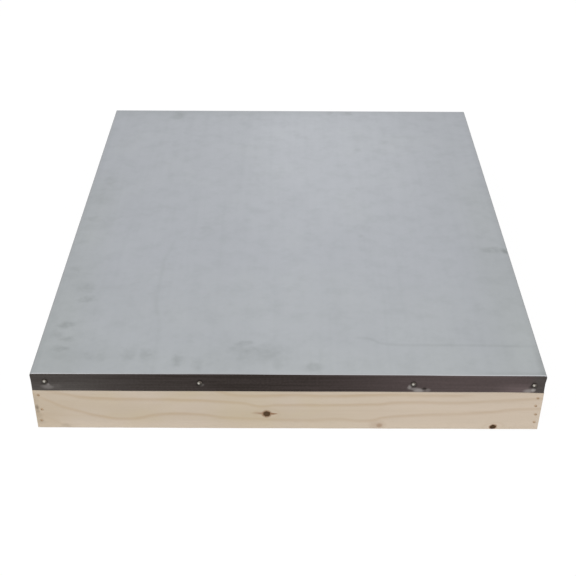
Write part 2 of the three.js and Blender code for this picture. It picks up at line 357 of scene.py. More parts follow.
class Surface(Graph):
    """The nodes of one of the object's materials, with the places on the object in millimetres."""

    def __init__(self, name):
        self.material = bpy.data.materials.new(name)
        self.seed = 0
        super().__init__(self.material)
        source = self.node("TexCoord")
        self.normal = source.outputs["Normal"]
        self.place = self.scaled(source.outputs["Object"], PER_MM)
        self.x, self.y, self.z = self.split(self.place)

    def vector(self, operation, *values):
        return self.node("VectorMath", *values, operation=operation).outputs[0]

    def scaled(self, vector, factor):
        return self.vector("SCALE", vector, None, None, factor)

    def length(self, vector):
        return Value(self, self.node("VectorMath", vector, operation="LENGTH").outputs["Value"])

    def split(self, vector):
        return [Value(self, part) for part in self.node("SeparateXYZ", vector).outputs]

    def join(self, x, y, z):
        return self.node("CombineXYZ", x, y, z).outputs[0]

    def ramps(self, rows):
        """The sum of rows, each a product of soft steps: an axis, from where to where, from what to what."""
        products = [reduce(mul, (getattr(self, axis).step(*span) for axis, *span in row)) for row in rows]
        return reduce(add, products)

    def mix(self, share, first, second, blend="MIX"):
        """Two colours mixed by share."""
        made = self.node("Mix", data_type="RGBA", blend_type=blend)
        for number, value in zip(MIX_SOCKETS, (share, first, second)):
            self.feed(made.inputs[number], value)
        return made.outputs[2]

    def layers(self, base, *coats):
        """A colour with coats laid over it in turn, each a share and a colour."""
        for share, coat in coats:
            base = self.mix(share, base, coat)
        return base

    def clouds(self, size, seed=0, detail=2, rough=0.5):
        """A cloudy texture whose lumps are about size millimetres, one size or one for each axis."""
        sizes = size if isinstance(size, tuple) else (size, size, size)
        start = [(self.seed + seed) * share for share in (1, 0.7, 1.3)]
        moved = self.vector("MULTIPLY_ADD", self.place, [1 / each for each in sizes], start)
        return self.node("TexNoise", moved, None, 1, detail, rough).outputs

    def noise(self, *pattern):
        """Cloudy numbers about 0.5."""
        return Value(self, self.clouds(*pattern)[0])

    def spot(self, place, centre, radii, soft=0.9):
        """1 in the middle of a soft oval and 0 outside it."""
        away = self.vector("SUBTRACT", place, centre)
        shares = self.vector("MULTIPLY", away, tuple(1 / r for r in radii))
        return self.length(shares).step(1 + soft / 2, 1 - soft / 1.2)

    def spots(self, place, level, rows, soft=0.9):
        """Soft ovals on an upright face, the strongest at each place: along, up, half widths, strength."""
        return self.most(*(
            self.spot(place, (along, level, up), (half_long, SPOT_REACH, half_high), soft) * strength
            for along, up, half_long, half_high, strength in rows
        ))

    def away(self, across, rise, half_long=1, half_high=1):
        """How far a place lies from a middle, in half widths of an oval."""
        return self.length(self.join(across / half_long, 0, rise / half_high))

    def bump(self, height, depth, strength):
        """A normal raised by height, where 1 stands for depth millimetres."""
        made = self.node("Bump")
        for name, value in (("Strength", strength), ("Distance", depth * MM), ("Height", height)):
            self.feed(made.inputs[name], value)
        return made.outputs[0]

    def finish(self, base, rough, metal, normal=None, gloss=0.5):
        """The surface shader and the output."""
        shader = self.node("BsdfPrincipled", base, metal, rough)
        self.feed(shader.inputs["Specular IOR Level"], gloss)
        self.feed(shader.inputs["Normal"], normal)
        self.node("OutputMaterial", shader.outputs[0])
        return self.material


# Zinc sheet

# The top's grey runs between these two by a painted reflection, lightest at the back and middle
ZINC_DULL = colour(161.8, 165, 170.3)
ZINC_LIGHT = colour(186.8, 190, 195.4)
ZINC_TINT = (0.990, 1, 0.955, 1)
# The colour of finger marks and wipes, also used for painted shade along the top's edges
ZINC_MARK_AND_SHADE = colour(128, 133, 132)
# The fold's colours: a painted highlight on the front and back folds, and painted shade on the side folds
ZINC_FOLD_HIGHLIGHT = colour(179, 181, 184)
ZINC_FOLD_HIGHLIGHT_DIM = colour(166, 168, 171)
ZINC_SHADE = colour(154, 156, 159)
# The skirts' colours: their darkness is a painted dark reflection on the same zinc
SKIRT_DARK = colour(48.5, 42, 39)
SKIRT_LIGHT = colour(105, 92, 92)
SKIRT_GREY = colour(99, 96, 93)
SKIRT_HIGHLIGHT = colour(150, 145, 142)
SKIRT_SHADOW = colour(34, 30, 26)

# Painted reflection: how light the top is by place across the lid, from ZINC_DULL at 0 to ZINC_LIGHT at 1
TOP_TONES = (
    (-229, 0.26), (-210, 0.33), (-190, 0.38), (-140, 0.45), (-105, 0.48), (-70, 0.49), (-35, 0.545),
    (0, 0.59), (70, 0.57), (105, 0.54), (140, 0.51), (175, 0.42), (210, 0.35), (229, 0.28),
)

# Painted dark reflection: how light the front skirt is along the lid, from SKIRT_DARK at 0 to SKIRT_LIGHT at
# 1
SKIRT_TONES = (
    (-229, 0.36), (-200, 0.34), (-150, 0.2), (-110, 0.13), (-80, 0.09), (-50, 0.02), (-7, 0.02), (28, 0.09),
    (64, 0.23), (99, 0.38), (125, 0.43), (150, 0.48), (190, 0.5), (206, 0.48), (229, 0.34),
)

# Finger marks and wipes on the top: middle, half widths, and how dark, all in millimetres but the last
TOP_MARKS = (
    (-208, 78, 8.5, 11, 0.14), (-217, -6, 8.5, 5.5, 0.16), (-207, -11, 5, 4, 0.07), (-219, -24, 7, 8, 0.11),
    (-211, 44, 13, 13, 0.05), (-218, -53, 5, 6, 0.07), (-217, -108, 6.5, 7.5, 0.13),
    (-204, -104, 6, 7, 0.05), (-201, -141, 8.5, 8.5, 0.2), (-197, -161, 8.5, 5.5, 0.27),
    (-217, -137, 6, 5, 0.05), (-210, -204, 7.5, 6.5, 0.28), (-222, -195, 5, 5.5, 0.1),
    (-217, -219, 6, 6, 0.14), (-206, -226, 7, 5.5, 0.22), (-208, -240, 10, 4, 0.25),
    (-182, -253, 6, 6, 0.12), (-205, -253, 6, 5, 0.08), (-169, -253, 7, 6, 0.11),
    (-145, -250, 6.5, 10, 0.18), (-130, -251, 6.5, 10.5, 0.21), (-100, -258, 6.5, 8.5, 0.26),
    (-82, -264, 5, 8, 0.15), (-67, -245, 7, 8, 0.06), (-40, -231, 7.5, 4.5, 0.27), (-47, -240, 12, 7, 0.15),
    (-40, -250, 7, 9, 0.13), (-32, -242, 7, 6, 0.15), (-18, -246, 12, 13, 0.19), (-9, -264, 4.5, 9, 0.14),
    (22, -266, 9.5, 6, 0.19), (-2, -253, 6, 6, 0.08), (-69, -197, 10, 12, 0.02), (-146, 261, 9, 13, 0.2),
    (51, 270, 6, 6, 0.17), (75, 268, 7, 6, 0.19), (83, 163, 5, 7, 0.12), (115, 187, 6, 7, 0.11),
    (184, -172, 5, 8, 0.11), (-89, -26, 7, 15, 0.1), (-29, 171, 15, 7, 0.05), (71, -21, 3, 4, 0.1),
    (77, -41, 3, 4, 0.1), (79, 64, 4, 7, 0.07), (-120, 80, 5, 6, 0.07), (-172, 43, 6, 7, 0.06),
    (212, -68, 12, 5.5, 0.27), (227, -69.5, 4.5, 5, 0.45), (191, -63, 16, 4, 0.08),
    (200, -76, 19, 14, 0.03), (202, -235, 6, 4, 0.06), (179, 133, 5, 7, 0.07),
)

# Broad dulled areas, the same way
TOP_CLOUDS = (
    (-191, -251, 44, 22, 0.08), (-46, -250, 42, 21, 0.06), (-170, 262, 66, 20, 0.05),
    (205, -110, 26, 60, 0.04), (-215, 40, 26, 90, 0.02), (-60, 262, 40, 22, 0.06), (-50, 110, 34, 90, 0.03),
    (-215, -120, 26, 60, 0.03), (165, -225, 55, 40, 0.02),
)
# Painted reflection: broad lighter areas at the back and middle, the same way
TOP_REFLECTIONS = ((30, 160, 120, 190, 0.24), (10, 205, 60, 50, 0.05))

# Two fine lines: the crease across the right front, x and y, and the edge of an old wipe on the left, y and x
CREASE = ((40, -222), (70, -222.5), (79, -226), (88, -231), (100, -232.5), (148, -232.6), (229, -234))
WIPE = (
    (-276, -121), (-243, -122), (-215, -121.8), (-196, -122.6), (-177, -127.2), (-156, -129.8),
    (-135, -129.2), (-94, -128.6), (-79, -126.6), (-67, -123.8), (-46, -120.5), (-20, -113),
)

# How much higher up the bend the front fold's painted highlight begins, by place along the lid
FOLD_EDGE = (
    (-229, 0), (-190, 0.02), (-150, 0.05), (-100, 0.08), (-60, 0.12), (0, 0.08), (110, 0.07), (160, 0),
    (229, 0),
)

# Painted highlights on the front skirt, where the dimples below the nails face up: which nail, how far along
# and up from it, half widths, strength
SKIRT_HIGHLIGHTS = (
    (1, 2.2, -3.1, 2.5, 1.5, 0.68), (1, 2.4, -5.6, 6, 2.6, 0.4), (1, 9, -5, 6, 3, 0.08),
    (2, 2, -1.8, 2, 1.5, 0.34), (2, 1, -3.1, 2.4, 1.1, 0.14), (3, -3.6, -3.4, 1.8, 2.5, 0.66),
    (3, 1.5, -5.3, 6.5, 1.6, 0.5), (3, 4.8, -6.7, 5.5, 2.4, 0.8), (3, 12.8, -6.6, 2.6, 2.2, 0.34),
    (4, -0.9, -5.1, 2.2, 1.9, 1.02), (4, -4.8, -5.9, 4.5, 2.4, 0.6),
)
# Painted shade below the front nails, the same way
SKIRT_SHADOWS = (
    (3, 10, -4.5, 1.9, 1.5, 0.8), (4, -2.6, -1.6, 2.4, 1.9, 0.5), (1, 0.2, -2.7, 3, 1.2, 0.45),
    (3, 0.4, -2.7, 1.6, 1.2, 0.45), (2, -1.6, -2.6, 3, 1.2, 0.45),
)

# How far a soft oval reaches through the face that it lies on, and how ragged its edge is, along and up
SPOT_REACH = 30
DRIFT_REACH = 1.2
DRIFT_RISE = 0.6
SMEAR_REACH = 6

# The painted shade round each nail's head
RING_RADIUS = 3.2
RING_DROP = 1

# Sums of products of soft steps: the axis, from where to where, and from what to what
# The first table darkens the top along its edges and folds: painted shade
EDGE_BANDS = (
    (("y", 252, 276, 0, 0.11), ("x", 60, 120, 1, 0.5)),
    (("x", -222, -227, 0, 0.05),),
    (("x", 221, 227, 0, 0.06),),
    (("x", -221, -227, 0, 0.08), ("y", -130, -270, 0, 1)),
    (("x", 221, 227.5, 0, 0.24), ("y", -215, -275, 0, 1)),
    (("y", -270, -274, 0, 0.14), ("x", 150, 205, 0, 1)),
)
TOP_WARMTH = (
    (("y", -70, -200, 0, 0.38),),
    (("y", -220, -270, 0, 0.3),),
    (("x", 175, 215, 0, 0.5), ("y", 130, 30, 0, 1)),
    (("x", -175, -215, 0, 0.5), ("y", 130, 30, 0, 1)),
)
BRIGHT_CORNER = ((("x", 195, 212, 0, 0.08), ("y", -205, -225)),)
SKIRT_ENDS = ((("x", -150, -205, 0, 0.14),), (("x", 180, 206, 0, 0.4), ("x", 222, 214, 0, 1)))

# Soft steps along one axis, the same way
CREASE_ONSET, CREASE_TAIL, WIPE_ONSET = (56, 72, 0, 0.13), (227, 206, 0.4, 1), (-18, -60, 0, 0.07)
GREY_LEFT, GREY_RIGHT, FOLD_BRIGHTENS = (60, -190, 0, 0.9), (212, 224, 0, 0.8), (-60, 20)

# Fine lines: how far from its middle each fades out, and how near it is full
CREASE_BLUR, WIPE_BLUR = (3.4, 0.4), (4, 0.3)

# How far below the top the skirt's lower part starts to lighten, and by how much it does everywhere
LOW_START, LOW_LIGHT = 4, 0.04

# Cloudy patterns: the size of their lumps, overall or by axis, then their seed, detail and roughness
TOP_SMEAR = (9, 0, 3, 0.5)
TOP_CLOUDINESS = ((60, 80, 60), 3.1, 3)
TOP_STREAKS = ((7, 200, 30), 7.7)
TOP_MOTTLE = (20, 5.2, 3, 0.62)
TOP_PATCHES = (7, 2.9, 3)
WIPE_WEAR = (16, 6.4)
FLAKE_SIZE = 5.5
SKIRT_DRIFT = (5, 1.4)
SKIRT_CLOUDINESS = ((120, 120, 40), 2.2)
SKIRT_SCRATCHES = ((60, 60, 1.6), 4.4, 3)
SKIRT_SPECKLE = (2.2, 8.8, 3)


def marks_of(graph, place, rows):
    """Soft ovals laid on the top, added up."""
    total = 0
    for x, y, across, along, depth in rows:
        oval = graph.spot(place, (x, y, COVER_TOP), (across, along, SPOT_REACH))
        total = graph.math("MULTIPLY_ADD", oval, depth, total)
    return total


def smear(graph):
    """The object's places, shifted a little here and there, so that marks get ragged edges."""
    shift = graph.vector("SUBTRACT", graph.clouds(*TOP_SMEAR)["Color"], (0.5, 0.5, 0.5))
    return graph.vector("MULTIPLY_ADD", shift, (2 * SMEAR_REACH, 2 * SMEAR_REACH, 0), graph.place)


def fine_lines(graph):
    """The crease, and the edge of the wipe where it isn't worn away."""
    crease = graph.y.near(graph.x.curve(CREASE), *CREASE_BLUR)
    wipe = graph.x.near(graph.y.curve(WIPE), *WIPE_BLUR)
    worn = graph.noise(*WIPE_WEAR).step(0.35, 0.6, 0.45, 1.1)
    crease = crease * graph.x.step(*CREASE_ONSET) * graph.x.step(*CREASE_TAIL)
    return crease + wipe * worn * graph.y.step(*WIPE_ONSET)


def zinc_top(graph):
    """The top's dull grey, lightest at its back and middle by a painted reflection, with painted shade along
    its edges, cloudy wipes and finger marks.
    """
    smeared = smear(graph)
    clouds = graph.noise(*TOP_CLOUDINESS)
    streaks = graph.noise(*TOP_STREAKS)
    mottle = graph.noise(*TOP_MOTTLE)
    patches = graph.noise(*TOP_PATCHES)
    crystals = graph.node("TexVoronoi", graph.scaled(smeared, 1 / FLAKE_SIZE), None, 1)
    flakes = graph.split(crystals.outputs["Color"])[0]
    # Painted reflection: the top lighter at its back and middle
    glow = marks_of(graph, graph.place, TOP_REFLECTIONS)
    tone = graph.ramps(BRIGHT_CORNER) + graph.x.curve(TOP_TONES) + glow + clouds.swing(0.12)
    warm = graph.ramps(TOP_WARMTH) + clouds.step(0.48, 0.78, 0, 0.2)
    base = graph.mix(tone, ZINC_DULL, ZINC_LIGHT)
    base = graph.mix(warm, base, ZINC_TINT, "MULTIPLY")
    marks = marks_of(graph, smeared, TOP_MARKS) * patches.step(0.32, 0.62, 0.62, 1.25)
    marks_and_shade = marks + marks_of(graph, smeared, TOP_CLOUDS) + graph.ramps(EDGE_BANDS) + fine_lines(graph)
    grain = mottle.step(0.42, 0.75, 0, 0.09) + streaks.step(0.42, 0.72, 0, 0.02) + flakes * 0.03
    return graph.mix(marks_and_shade + grain, base, ZINC_MARK_AND_SHADE), mottle, streaks, flakes


def beside_nails(rows):
    """Rows of spots, measured from the front nails, as places on the lid."""
    for number, along, up, *rest in rows:
        x, z = NAIL_PLACES["front"][number - 1]
        yield x + along, z + up, *rest


def painted_nail_shade(graph):
    """Painted shade round each nail head, and a little below it."""
    parts = []
    for side in SIDES:
        radii = on_side(side, RING_RADIUS, SPOT_REACH, RING_RADIUS)
        for along, height in NAIL_PLACES[side]:
            centre = on_side(side, along, SKIRTS[side], height - RING_DROP)
            parts.append(graph.spot(graph.place, centre, radii, 0.55))
    return graph.most(*parts)


def zinc_skirt(graph):
    """The skirts' colour, darkened by a painted dark reflection, lighter towards the right, with painted
    highlights and painted shade by the nails.
    """
    push = graph.noise(*SKIRT_DRIFT).swing(DRIFT_REACH)
    ragged = graph.vector("ADD", graph.place, graph.join(push, 0, push * DRIFT_RISE))
    clouds = graph.noise(*SKIRT_CLOUDINESS)
    scratches = graph.noise(*SKIRT_SCRATCHES)
    speckle = graph.noise(*SKIRT_SPECKLE)
    low = graph.z.step(COVER_TOP - LOW_START, SKIRT_BOTTOM) * (graph.ramps(SKIRT_ENDS) + LOW_LIGHT)
    uneven = clouds.swing(0.15) + scratches.swing(0.21) + speckle.swing(0.13)
    light = graph.layers(
        SKIRT_LIGHT,
        (graph.x.step(*GREY_LEFT), SKIRT_GREY),
        (graph.x.step(*GREY_RIGHT), SKIRT_GREY),
    )
    base = graph.layers(
        SKIRT_DARK,
        (graph.x.curve(SKIRT_TONES) + low + uneven, light),
        # Painted highlights in the dimples below the nails
        (graph.spots(ragged, -COVER_Y, beside_nails(SKIRT_HIGHLIGHTS), 0.8), SKIRT_HIGHLIGHT),
        # Painted shade round and below the nail heads
        (graph.spots(ragged, -COVER_Y, beside_nails(SKIRT_SHADOWS), 0.8), SKIRT_SHADOW),
        (painted_nail_shade(graph) * 0.5, SKIRT_SHADOW),
    )
    return base, scratches


def zinc_material():
    """Galvanised sheet: its top, its folds with a painted highlight at front and back and painted shade at
    the sides, and its skirts, dark by a painted reflection.
    """
    graph = Surface("zinc_sheet")
    aside, ahead, above = (abs(part) for part in graph.split(graph.normal))
    top, mottle, streaks, flakes = zinc_top(graph)
    skirt, scratches = zinc_skirt(graph)
    # Painted highlight on the front and back folds, and painted shade on the side folds
    fold = graph.mix(graph.x.step(*FOLD_BRIGHTENS), ZINC_FOLD_HIGHLIGHT_DIM, ZINC_FOLD_HIGHLIGHT)
    top = graph.mix(ahead.step(0.08, 0.38, 0, 0.92), top, fold)
    top = graph.mix(aside.step(0.10, 0.45, 0, 0.8), top, ZINC_SHADE)
    is_top = (above - graph.x.curve(FOLD_EDGE)).step(0.66, 0.77)
    rough = mottle * 0.12 + 0.36 + streaks * 0.06
    height = mottle * 0.5 + scratches * 0.3 + flakes * 0.2
    return graph.finish(graph.mix(is_top, skirt, top), rough, 0.9, graph.bump(height, 0.03, 0.6))


# Pine

PINE_PALE = colour(196, 182.7, 166.8)
PINE_WARM = colour(191, 176.8, 157.8)
PINE_YELLOW = colour(194, 180.5, 150)
PINE_GREY = colour(203, 187.8, 170.5)
PINE_LATE = colour(177, 154, 126)
PINE_FIBRE = colour(183, 166, 142)
# Painted light from the floor on the boards' lowest part
PINE_FLOOR_LIGHT = colour(209, 195.5, 178)
PINE_STAIN = colour(140, 127, 110)
KNOT_DARK = colour(66, 46, 22)
KNOT_RIM = colour(142, 109, 81)
KNOT_BLUSH = colour(161, 135, 113)
BRAD_STAIN = colour(169, 145, 117)
PINE_GLOSS = 0.2

# The front board's growth lines: place along and height, in millimetres
LINE_HIGH = (
    (-229, 52.2), (-110, 52.2), (-60, 43.2), (-38, 39.2), (-3, 39.8), (45, 39.2), (99, 41), (141, 40.6),
    (229, 43.7),
)
LINE_UPPER = (
    (-229, 49), (-210, 42.5), (-196, 39), (-180, 35.8), (-153, 34.4), (-99, 33.8), (-57, 31.6), (-40, 30.2),
    (-30, 27.6), (-21, 26.6), (-13, 28.2), (27, 28.4), (76, 29.5), (103, 32.1), (150, 31.8), (191, 34.7),
    (229, 37.3),
)
LINE_LOWER = (
    (-229, 40), (-215, 31.5), (-203, 24.7), (-190, 20.1), (-167, 13.3), (-149, 11.1), (-135, 12.5),
    (-120, 16.6), (-98, 17.8), (-78, 16.8), (-57, 13.5), (-21, 11.6), (16, 10.7), (42, 12.1), (69, 10.4),
    (86, 14), (105, 16.5), (150, 18.8), (184, 21.4), (209, 24.7), (229, 25.2),
)
LOWER_GAP = 21.5
LOWEST_SHARE = 0.3

# How strongly each of them shows along the board
HIGH_SHARES = (
    (-229, 0.9), (-60, 0.9), (0, 1.35), (60, 1.35), (110, 0.95), (150, 1), (175, 0.25), (229, 0.2),
)
UPPER_SHARES = (
    (-229, 0.6), (-190, 0.9), (-150, 1.1), (-30, 1.15), (60, 1), (100, 0.9), (140, 0.8), (229, 0.85),
)
LOWER_SHARES = (
    (-229, 0.7), (-190, 0.9), (-110, 1.05), (-60, 0.9), (-30, 0.75), (60, 0.75), (90, 1), (140, 0.95),
    (180, 0.8), (229, 0.9),
)
GROWTH_LINES = ((LINE_HIGH, HIGH_SHARES), (LINE_UPPER, UPPER_SHARES), (LINE_LOWER, LOWER_SHARES))
LINE_SLOPE = 0.45

# The growth rings of the others: how deep and how high the pith lies, and how wide each ring is
RINGS = {"back": (52, 24, 5.2), "left": (44, 36, 4.6), "right": (60, 14, 4.8)}

# What sets each board's wood apart from the others'
SEEDS = {"front": 1, "back": 21, "left": 33, "right": 47}

# Knots: place along and up, half widths along and up, how far its grain runs on, how dark, how it tilts
KNOTS = {
    "front": ((-19.4, 17.8, 3.4, 3.3, 12, 0.96, 0), (187.3, 3.6, 2.8, 2.5, 4, 1, 0.15)),
    "back": ((112, 22, 4.3, 4, 10, 0.9, 0.1), (-150, 33, 2.4, 2.1, 6, 0.5, 0)),
    "left": ((-96, 24, 3.8, 3.4, 9, 0.9, -0.1), (160, 12, 2.5, 2.3, 6, 0.4, 0.1)),
    "right": ((64, 16, 3.1, 2.9, 9, 0.8, 0), (-188, 30, 4.6, 4.2, 10, 0.6, 0.15)),
}

# Soft stains on the front by colour: place along and up, half widths, strength
FRONT_SPOTS = (
    (PINE_FIBRE, ((-60, 22, 40, 30, 0.11),)),
    (PINE_YELLOW, ((-38, 24, 34, 32, 0.24), (45, 22, 40, 32, 0.09))),
    (KNOT_BLUSH, ((83.4, 4.8, 3.6, 3, 0.8), (81.5, 5.2, 7.5, 4.6, 0.3), (-26, 18.6, 6.5, 1.5, 0.62))),
    (PINE_STAIN, (
        (-227.2, 24, 2, 3.4, 0.95), (-227, 19.4, 2, 2.6, 0.55), (-225.5, 8, 3.5, 3, 0.25),
        (-226.5, 14, 3, 4, 0.22), (-227.5, 33, 2.5, 5, 0.18), (-203, 3, 5, 2.5, 0.22),
        (178, 37, 52, 12, 0.06),
    )),
)

# The stain round each brad: how far it lies from it, leftward and up, and where it ends and where it is full
STAIN_SHIFT = 0.5
STAIN_RADII = (2.1, 0.6)

# Soft steps along and up the boards: from where to where, and from what to what
# The second lightens the boards' lowest part: painted light from the floor
GREY_RUN, FLOOR_LIGHT_RISE = (-40, 150, 0, 0.74), (15, 0, 0, 0.5)
CURL_RUN, END_RUN = (-196, -222, 0, 0.35), (-185, -225, 0, 0.34)

# Late wood, above and below its line: where it fades out and where it is full
LATE_ABOVE, LATE_BELOW = (2.2, -0.3), (-4.2, -0.5)

# How far the pith wanders up and into the board, and how far lines and rings ripple
PITH_CLIMB, PITH_DRIFT, LINE_WAVE, RING_WAVE = 17, 13, 1, 1.1

# Cloudy patterns, as for the sheet, by the ways along, into and up the board
STAIN_DRIFT = (2.6, 2.3)
LINE_RIPPLE = ((26, 9, 12), 1.6)
LINE_PATCHES = ((40, 20, 20), 8.3)
KNOT_GRIT = (1.6, 6.1)
PITH_RISE = ((130, math.inf, math.inf), 0)
PITH_SINK = ((210, math.inf, math.inf), 4)
RING_RIPPLE = ((60, 10, 10), 1)
RING_PATCHES = ((80, 20, 20), 9.3)
PINE_CLOUDS = ((90, 30, 24), 3)
PINE_HUES = ((38, 14, 16), 5, 3)
PINE_BANDS = ((190, 9, 6), 2)
PINE_FIBRES = ((38, 0.9, 0.55), 0, 3, 0.6)
PINE_CURLS = ((3.2, 3, 8), 8, 3)
PINE_FLECKS = ((5.5, 1, 0.42), 7, 1)


class Board(Surface):
    """The material of one board, whose places run along it, into it from its outer face, and up it."""

    def __init__(self, side):
        super().__init__(f"pine_{side}")
        out_x, out_y = SIDES[side]
        self.along = (self.x, self.y)[ALONG[side]]
        self.depth = RIM_X - self.x * out_x if out_x else RIM_Y - self.y * out_y
        self.place = self.join(self.along, self.depth, self.z)
        self.grit = self.noise(*KNOT_GRIT).swing(0.25)
        self.seed = SEEDS[side]


def late_line(board, height, level):
    """The dark late wood of one growth line, sharp above and fading below."""
    tilt = board.depth * LINE_SLOPE + (height - level)
    return tilt.step(*LATE_ABOVE) * tilt.step(*LATE_BELOW)


def front_figure(board):
    """The growth lines of the front board."""
    height = board.z + board.noise(*LINE_RIPPLE).swing(LINE_WAVE)
    lines = [
        late_line(board, height, board.along.curve(levels)) * board.along.curve(shares)
        for levels, shares in GROWTH_LINES
    ]
    lowest = late_line(board, height, board.along.curve(LINE_LOWER) - LOWER_GAP) * LOWEST_SHARE
    patchy = board.noise(*LINE_PATCHES).step(0.30, 0.62, 0.72, 1)
    return board.most(*lines, lowest) * patchy


def plain_figure(board, pith_depth, pith_height, spacing):
    """Growth rings of a flat-sawn board, as rings about a pith that wanders along it."""
    rise = board.noise(*PITH_RISE).swing(PITH_CLIMB) - pith_height
    sink = board.noise(*PITH_SINK).swing(PITH_DRIFT) - pith_depth
    radius = board.away(board.depth + sink, board.z + rise)
    ring = (radius + board.noise(*RING_RIPPLE).swing(RING_WAVE)).rings(spacing, 0.35, 0.92, 0.94)
    return ring * board.noise(*RING_PATCHES).step(0.25, 0.65, 0.45, 1)


def knots_of(board, rows):
    """Masks of the knots: the dark core, the stained rim, and the grain that sweeps round them."""
    cores, rims, sweeps = [], [], []
    for along, height, half_long, half_high, tail, dark, tilt in rows:
        across = board.along - along
        rise = across * -tilt + (board.z - height)
        pull = abs(across) / across.step(-2, 2, 0.8 * tail, tail)
        narrow = 1 - pull.step(0.25, 1, 0, 0.93)
        spike = abs(rise) / (narrow * (half_high * 0.42)) + pull.step(0.7, 1.1, 0, 2)
        rough = board.away(across, rise, half_long, half_high) + board.grit
        halo = board.away(across, rise, half_long * 3.4, half_high * 2)
        cores.append(rough.step(1.12, 0.80) * rough.step(0.3, 0.85, dark, 1) * dark)
        rims.append(rough.step(1.6, 0.95) * dark)
        rims.append((spike + board.grit).step(1.4, 0.5) * across.step(-2, 2, 0.55, 1.15) * dark)
        sweeps.append(halo.step(0.72, 0.95) * halo.step(1.22, 1) * (dark * 0.14))
    return board.most(*cores), board.most(*rims), board.most(*sweeps)


def brad_stains(board, side):
    """The small brown stains round the brads' holes, where the board has any."""
    parts = [0]
    for node in brads_of(side):
        middle = middle_of(node)
        across = board.along - (middle.x - STAIN_SHIFT)
        parts.append(board.away(across, board.z - (middle.z + STAIN_SHIFT)).step(*STAIN_RADII))
    return board.most(*parts)


def stain_coats(board):
    """The front board's own stains, each a share and a colour."""
    drift = board.noise(*STAIN_DRIFT).swing(DRIFT_REACH)
    ragged = board.join(board.along + drift, 0, drift * DRIFT_RISE + board.z)
    return [(board.spots(ragged, 0, rows), coat) for coat, rows in FRONT_SPOTS]


def pine_tones(board):
    """The wood's own colours between its lines: pale and warm clouds, yellow patches and finer bands, with
    painted light from the floor along the foot.
    """
    return board.layers(
        PINE_PALE,
        (board.noise(*PINE_CLOUDS).step(0.3, 0.7), PINE_WARM),
        (board.noise(*PINE_HUES).step(0.48, 0.75, 0, 0.3), PINE_YELLOW),
        (board.along.step(*GREY_RUN), PINE_GREY),
        (board.z.step(*FLOOR_LIGHT_RISE), PINE_FLOOR_LIGHT),
        (board.noise(*PINE_BANDS).step(0.5, 0.8, 0, 0.15), PINE_LATE),
    )


def pine_material(side):
    """Planed pine for one board of the rim."""
    board = Board(side)
    late = plain_figure(board, *RINGS[side]) if side in RINGS else front_figure(board)
    core, rim, sweep = knots_of(board, KNOTS[side])
    fibre = board.noise(*PINE_FIBRES)
    curl = board.noise(*PINE_CURLS).step(0.45, 0.7) * board.along.step(*CURL_RUN)
    coats = [
        (board.most(late * 0.46, sweep), PINE_LATE),
        (fibre.step(0.52, 0.80, 0, 0.28), PINE_FIBRE),
        (board.most(curl, board.along.step(*END_RUN)), PINE_FIBRE),
        (board.noise(*PINE_FLECKS).step(0.70, 0.80, 0, 0.35), PINE_LATE),
    ]
    if side == "front":
        coats += stain_coats(board)
    coats += [(rim * 0.85, KNOT_RIM), (core, KNOT_DARK), (brad_stains(board, side) * 0.7, BRAD_STAIN)]
    base = board.layers(pine_tones(board), *coats)
    height = fibre * 0.6 + late * 0.4 - core * 0.8
    return board.finish(base, fibre * 0.12 + 0.62, 0, board.bump(height, 0.06, 0.5), PINE_GLOSS)


# Plywood

PLY_PALE = colour(206, 182, 146)
PLY_WARM = colour(196, 168, 130)
PLY_LATE = colour(172, 138, 98)
PLY_DARK = colour(160, 128, 92)
PLY_SPACING = 23
PLY_SWAY = ((60, 200, 40), 3.3, 3)
PLY_SWAY_REACH = 90
PLY_CLOUDS = ((60, 160, 40), 6.6)
PLY_FIBRES = ((0.7, 42, 0.7), 5, 3, 0.6)


def plywood_material():
    """The rotary-cut face of the thin deck, wide wavy figure on a pale ground."""
    graph = Surface("plywood")
    sway = graph.noise(*PLY_SWAY) * PLY_SWAY_REACH
    ring = (graph.x + sway).rings(PLY_SPACING, 0.2, 0.9, 0.93)
    fibre = graph.noise(*PLY_FIBRES)
    base = graph.layers(
        PLY_PALE,
        (graph.noise(*PLY_CLOUDS).step(0.3, 0.7), PLY_WARM),
        (ring * 0.55, PLY_LATE),
        (fibre.step(0.5, 0.8, 0, 0.35), PLY_DARK),
    )
    height = fibre * 0.7 + ring * 0.3
    return graph.finish(base, fibre * 0.15 + 0.6, 0, graph.bump(height, 0.08, 0.6))


# Fasteners

# Nail heads: a painted highlight on the crown, and painted shade on the lower rim
NAIL_HIGHLIGHT = colour(184, 181, 172)
NAIL_SIDE = colour(92, 85, 79)
NAIL_SHADOW = colour(50, 45, 40)
NAIL_GRIT = (0.9, 1, 3)
NAIL_PATCHES = (0.7, 4)
BRAD_PALE = colour(198, 170, 140)
BRAD_BROWN = colour(168, 140, 112)
BRAD_PATCHES = (0.8, 2, 3)

# Where each nail's painted highlight lies, from the middle of its head: leftward and up, in millimetres
NAIL_GLINTS = ((0, 0.85), (0.9, 0.42), (0.5, 0.6), (0.7, 0.9))


def nail_material():
    """Zinc-plated nail heads: a painted highlight on each crown, above a rim with painted shade below."""
    graph = Surface("nail_steel")
    glint, lean = (
        Value(graph, graph.node("Attribute", attribute_name=name).outputs["Fac"])
        for name in ("glint", "lean")
    )
    grit = graph.noise(*NAIL_GRIT).swing(0.15)
    # The rim darker below than above: painted shade
    side = graph.mix(lean.step(-0.5, 0.7), NAIL_SHADOW, NAIL_SIDE)
    base = graph.mix((glint + grit).step(0.42, 0.76), side, NAIL_HIGHLIGHT)
    rough = graph.noise(*NAIL_PATCHES).step(0.3, 0.7, 0.26, 0.42)
    return graph.finish(base, rough, 0.85, graph.bump(grit, 0.05, 0.6))


